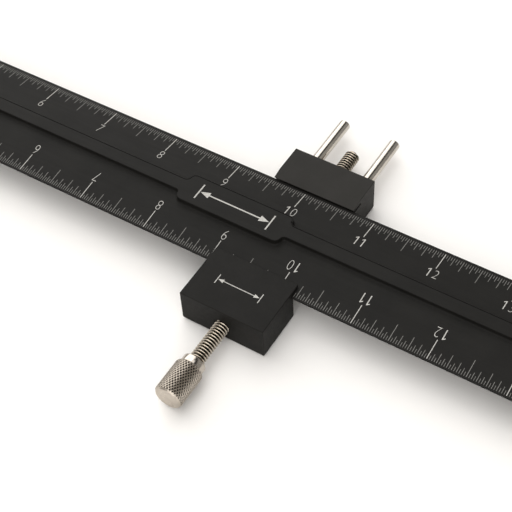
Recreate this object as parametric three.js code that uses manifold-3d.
// Marking gauge: a black inch rule with a centre rib carries a two-block clamp head.
// Units are millimetres, +Z is up, the rule runs along X and the clamp screw along Y.
import * as THREE from 'three';
import { mergeVertices } from 'three/addons/utils/BufferGeometryUtils.js';
import Module from 'manifold-3d';

// Rule.
const RULE_LENGTH = 473.6;      // two 18 inch scales, one set 12.4 mm along from the other
const RULE_WIDTH = 40.0;
const RULE_UNDERSIDE = 11.0;    // height of the underside above the bench
const EDGE_THICKNESS = 0.5;     // thickness at the two graduated edges
const MARGIN_RISE = 1.95;       // rise of each sloping margin from edge to rib
const RIB_WIDTH = 5.2;
const RIB_HEIGHT = 1.7;
const PAD_LENGTH = 39.2;        // widened part of the rib
const PAD_X = 1.7;              // its middle, just right of the middle of the rule
const PAD_WIDTH = 11.6;
const PAD_CORNER = 2.2;
const RULE_CENTRE_Y = 4.05;

// Clamp blocks.
const HEAD_X = 19.7;            // screw axis, right of the middle of the rule
const BLOCK_LENGTH = 30.0;
const BLOCK_HEIGHT = 13.2;
const FRONT_BODY = 16.3;        // front face to the bottom of the rule groove
const REAR_BODY = 9.6;
const LIP_REACH = 4.6;          // upper lip over the margin of the rule
const FRONT_LEDGE = 1.5;        // lower ledge under the rule
const REAR_LEDGE = 4.2;
const FRONT_GAP = 0.2;          // groove bottom to the near edge of the rule
const REAR_GAP = 4.2;           // the rear block stands open by this much
const GROOVE_CLEARANCE = 0.12;
const EDGE_BREAK = 0.35;
const FRONT_NOSE = { run: EDGE_BREAK, drop: EDGE_BREAK };
const REAR_NOSE = { run: 3.6, drop: 0.75 };     // the rear lip thins towards its tip
const REAR_END_BREAK = 0.12;

// Screw, knob, collar and guide pins.
const AXIS_HEIGHT = 5.7;
const STUD_RADIUS = 2.6;
const STUD_OUT_FRONT = 15.0;    // thread seen between front block and collar
const STUD_OUT_REAR = 13.0;
const STUD_IN_KNOB = 8.0;
const COLLAR_LENGTH = 2.6;
const COLLAR_RADIUS = 3.9;
const KNOB_LENGTH = 12.3;
const KNOB_RADIUS = 4.7;
const KNOB_CHAMFER = 0.6;
const PIN_RADIUS = 2.0;
const PIN_SPREAD = 9.7;         // pin axis to screw axis
const PIN_OUT_REAR = 24.5;
const PIN_SOCKET = 12.0;        // depth held in the front block
const SLIP = 0.08;              // radial clearance of sliding fits
const SEAT = 0.02;              // radial clearance of pressed fits
const ROUND = 48;               // facets round a turned part

// Positions along Y.
const NEAR_EDGE = RULE_CENTRE_Y - RULE_WIDTH / 2;
const FAR_EDGE = RULE_CENTRE_Y + RULE_WIDTH / 2;
const FRONT_GROOVE = NEAR_EDGE - FRONT_GAP;
const FRONT_FACE = FRONT_GROOVE - FRONT_BODY;
const REAR_GROOVE = FAR_EDGE + REAR_GAP;
const REAR_FACE = REAR_GROOVE + REAR_BODY;
const COLLAR_END = FRONT_FACE - STUD_OUT_FRONT;
const KNOB_TOP = COLLAR_END - COLLAR_LENGTH;

// Heights.
const EDGE_TOP = RULE_UNDERSIDE + EDGE_THICKNESS;
const RIB_FOOT = EDGE_TOP + MARGIN_RISE;
const RIB_TOP = RIB_FOOT + RIB_HEIGHT;
const MARGIN_SLOPE = MARGIN_RISE / ((RULE_WIDTH - RIB_WIDTH) / 2);

const wasm = await Module();
wasm.setup();

// Geometry to solid and back.
function solid(geometry) {
  const bare = geometry.clone();
  bare.deleteAttribute('normal');
  bare.deleteAttribute('uv');
  const merged = mergeVertices(bare, 1e-5);
  return new wasm.Manifold(new wasm.Mesh({
    numProp: 3,
    vertProperties: new Float32Array(merged.attributes.position.array),
    triVerts: new Uint32Array(merged.index.array),
  }));
}

function geometryOf(body) {
  const mesh = body.getMesh();
  const indexed = new THREE.BufferGeometry();
  indexed.setAttribute('position', new THREE.BufferAttribute(mesh.vertProperties, 3));
  indexed.setIndex(new THREE.BufferAttribute(mesh.triVerts, 1));
  const geometry = indexed.toNonIndexed();
  geometry.computeVertexNormals();
  return geometry;
}

// A closed (y, z) outline extruded along X, centred on x, with broken end edges.
function barAlongX(outline, length, x, breakEdge) {
  const shape = new THREE.Shape(outline.map(([y, z]) => new THREE.Vector2(y, z)));
  const geometry = new THREE.ExtrudeGeometry(shape, {
    depth: length - 2 * breakEdge,
    bevelEnabled: breakEdge > 0,
    bevelThickness: breakEdge,
    bevelSize: breakEdge,
    bevelOffset: -breakEdge,
    bevelSegments: 1,
    curveSegments: 1,
  });
  const yAxis = new THREE.Vector3(0, 1, 0);
  const zAxis = new THREE.Vector3(0, 0, 1);
  const xAxis = new THREE.Vector3(1, 0, 0);
  geometry.applyMatrix4(new THREE.Matrix4().makeBasis(yAxis, zAxis, xAxis));
  geometry.translate(x - length / 2 + breakEdge, 0, 0);
  return geometry;
}

// A turned part about an axis parallel to Y; the profile lists (radius, y) pairs.
function turned(profile, x) {
  const points = profile.map(([radius, y]) => new THREE.Vector2(radius, y));
  const geometry = new THREE.LatheGeometry(points, ROUND);
  geometry.translate(x, 0, AXIS_HEIGHT);
  return geometry;
}

function rod(radius, from, to, chamfer, x) {
  return turned([
    [0, from],
    [radius - chamfer, from],
    [radius, from + chamfer],
    [radius, to - chamfer],
    [radius - chamfer, to],
    [0, to],
  ], x);
}

function hole(radius, from, to, x) {
  return solid(turned([[0, from], [radius, from], [radius, to], [0, to]], x));
}

// The rule: thin edges, sloping margins, a raised rib and a pad at mid length.
function ruleBody() {
  const half = RULE_WIDTH / 2;
  const rib = RIB_WIDTH / 2;
  const outline = [
    [-half, RULE_UNDERSIDE],
    [half, RULE_UNDERSIDE],
    [half, EDGE_TOP],
    [rib, RIB_FOOT],
    [rib, RIB_TOP],
    [-rib, RIB_TOP],
    [-rib, RIB_FOOT],
    [-half, EDGE_TOP],
  ].map(([y, z]) => [y + RULE_CENTRE_Y, z]);
  const bar = barAlongX(outline, RULE_LENGTH, 0, 0);

  const pad = new THREE.Shape();
  const a = PAD_LENGTH / 2;
  const b = PAD_WIDTH / 2;
  const c = PAD_CORNER;
  pad.moveTo(-a + c, -b);
  pad.lineTo(a - c, -b);
  pad.absarc(a - c, -b + c, c, -Math.PI / 2, 0);
  pad.lineTo(a, b - c);
  pad.absarc(a - c, b - c, c, 0, Math.PI / 2);
  pad.lineTo(-a + c, b);
  pad.absarc(-a + c, b - c, c, Math.PI / 2, Math.PI);
  pad.lineTo(-a, -b + c);
  pad.absarc(-a + c, -b + c, c, Math.PI, Math.PI * 1.5);
  const depth = RIB_TOP - EDGE_TOP;
  const padSolid = new THREE.ExtrudeGeometry(pad, { depth, bevelEnabled: false, curveSegments: 6 });
  padSolid.translate(PAD_X, RULE_CENTRE_Y, EDGE_TOP);
  return solid(bar).add(solid(padSolid));
}

// The side outline of a clamp block; `toRule` is +1 when the groove faces +Y.
function blockOutline(groove, body, ledge, nose, toRule) {
  const floor = RULE_UNDERSIDE - GROOVE_CLEARANCE;
  const roof = EDGE_TOP + GROOVE_CLEARANCE;
  const roofTip = roof + LIP_REACH * MARGIN_SLOPE;
  const back = -body;
  const e = EDGE_BREAK;
  const outline = [
    [back + e, 0],
    [ledge - e, 0],
    [ledge, e],
    [ledge, floor],
    [0, floor],
    [0, roof],
    [LIP_REACH, roofTip],
    [LIP_REACH, BLOCK_HEIGHT - nose.drop],
    [LIP_REACH - nose.run, BLOCK_HEIGHT],
    [back + e, BLOCK_HEIGHT],
    [back, BLOCK_HEIGHT - e],
    [back, e],
  ].map(([y, z]) => [groove + toRule * y, z]);
  return toRule > 0 ? outline : outline.reverse();
}

const PIN_XS = [HEAD_X - PIN_SPREAD, HEAD_X + PIN_SPREAD];
const SOCKET_END = FRONT_GROOVE + FRONT_LEDGE - PIN_SOCKET;
const CLEAR = 5;                // how far a cutting tool runs past a face

function frontBlock() {
  const outline = blockOutline(FRONT_GROOVE, FRONT_BODY, FRONT_LEDGE, FRONT_NOSE, 1);
  let body = solid(barAlongX(outline, BLOCK_LENGTH, HEAD_X, EDGE_BREAK));
  const past = FRONT_GROOVE + CLEAR;
  body = body.subtract(hole(STUD_RADIUS + SLIP, FRONT_FACE - CLEAR, past, HEAD_X));
  for (const x of PIN_XS) {
    body = body.subtract(hole(PIN_RADIUS + SEAT, SOCKET_END, past, x));
  }
  return body;
}

function rearBlock() {
  const outline = blockOutline(REAR_GROOVE, REAR_BODY, REAR_LEDGE, REAR_NOSE, -1);
  let body = solid(barAlongX(outline, BLOCK_LENGTH, HEAD_X, REAR_END_BREAK));
  const from = REAR_GROOVE - REAR_LEDGE - CLEAR;
  const to = REAR_FACE + CLEAR;
  body = body.subtract(hole(STUD_RADIUS + SLIP, from, to, HEAD_X));
  for (const x of PIN_XS) {
    body = body.subtract(hole(PIN_RADIUS + SLIP, from, to, x));
  }
  return body;
}

function guidePin(x) {
  return solid(rod(PIN_RADIUS, SOCKET_END + SEAT, REAR_FACE + PIN_OUT_REAR, 0.3, x));
}

function threadedStud() {
  return solid(rod(STUD_RADIUS, KNOB_TOP - STUD_IN_KNOB, REAR_FACE + STUD_OUT_REAR, 0.5, HEAD_X));
}

function thrustCollar() {
  const bore = STUD_RADIUS + SLIP;
  const edge = 0.3;
  return solid(turned([
    [bore, KNOB_TOP + SEAT],
    [COLLAR_RADIUS, KNOB_TOP + SEAT],
    [COLLAR_RADIUS, COLLAR_END - edge],
    [COLLAR_RADIUS - edge, COLLAR_END],
    [bore, COLLAR_END],
    [bore, KNOB_TOP + SEAT],
  ], HEAD_X));
}

function knurledKnob() {
  const bore = STUD_RADIUS + SEAT;
  const end = KNOB_TOP - KNOB_LENGTH;
  return solid(turned([
    [0, end],
    [KNOB_RADIUS - KNOB_CHAMFER, end],
    [KNOB_RADIUS, end + KNOB_CHAMFER],
    [KNOB_RADIUS, KNOB_TOP - KNOB_CHAMFER],
    [KNOB_RADIUS - KNOB_CHAMFER, KNOB_TOP],
    [bore, KNOB_TOP],
    [bore, KNOB_TOP - STUD_IN_KNOB - SEAT],
    [0, KNOB_TOP - STUD_IN_KNOB - SEAT],
  ], HEAD_X));
}

const ANODISED = { color: 0x2c2b2a, roughness: 0.48, metalness: 0.35 };
const BLOCK_BLACK = { color: 0x2a2928, roughness: 0.5, metalness: 0.3 };
const BRIGHT_STEEL = { color: 0xc2bcb2, roughness: 0.28, metalness: 1.0 };
const THREAD_STEEL = { color: 0xa79f93, roughness: 0.36, metalness: 1.0 };
const KNURL_STEEL = { color: 0xb5aca0, roughness: 0.4, metalness: 1.0 };

const pieces = [
  ['rule_beam', ruleBody(), ANODISED],
  ['front_block', frontBlock(), BLOCK_BLACK],
  ['rear_block', rearBlock(), BLOCK_BLACK],
  ['guide_pin_left', guidePin(PIN_XS[0]), BRIGHT_STEEL],
  ['guide_pin_right', guidePin(PIN_XS[1]), BRIGHT_STEEL],
  ['threaded_stud', threadedStud(), THREAD_STEEL],
  ['thrust_collar', thrustCollar(), BRIGHT_STEEL],
  ['knurled_knob', knurledKnob(), KNURL_STEEL],
];

const gauge = new THREE.Group();
gauge.name = 'marking_gauge';
for (const [name, body, look] of pieces) {
  const mesh = new THREE.Mesh(geometryOf(body), new THREE.MeshStandardMaterial(look));
  mesh.name = name;
  gauge.add(mesh);
}

export default gauge;
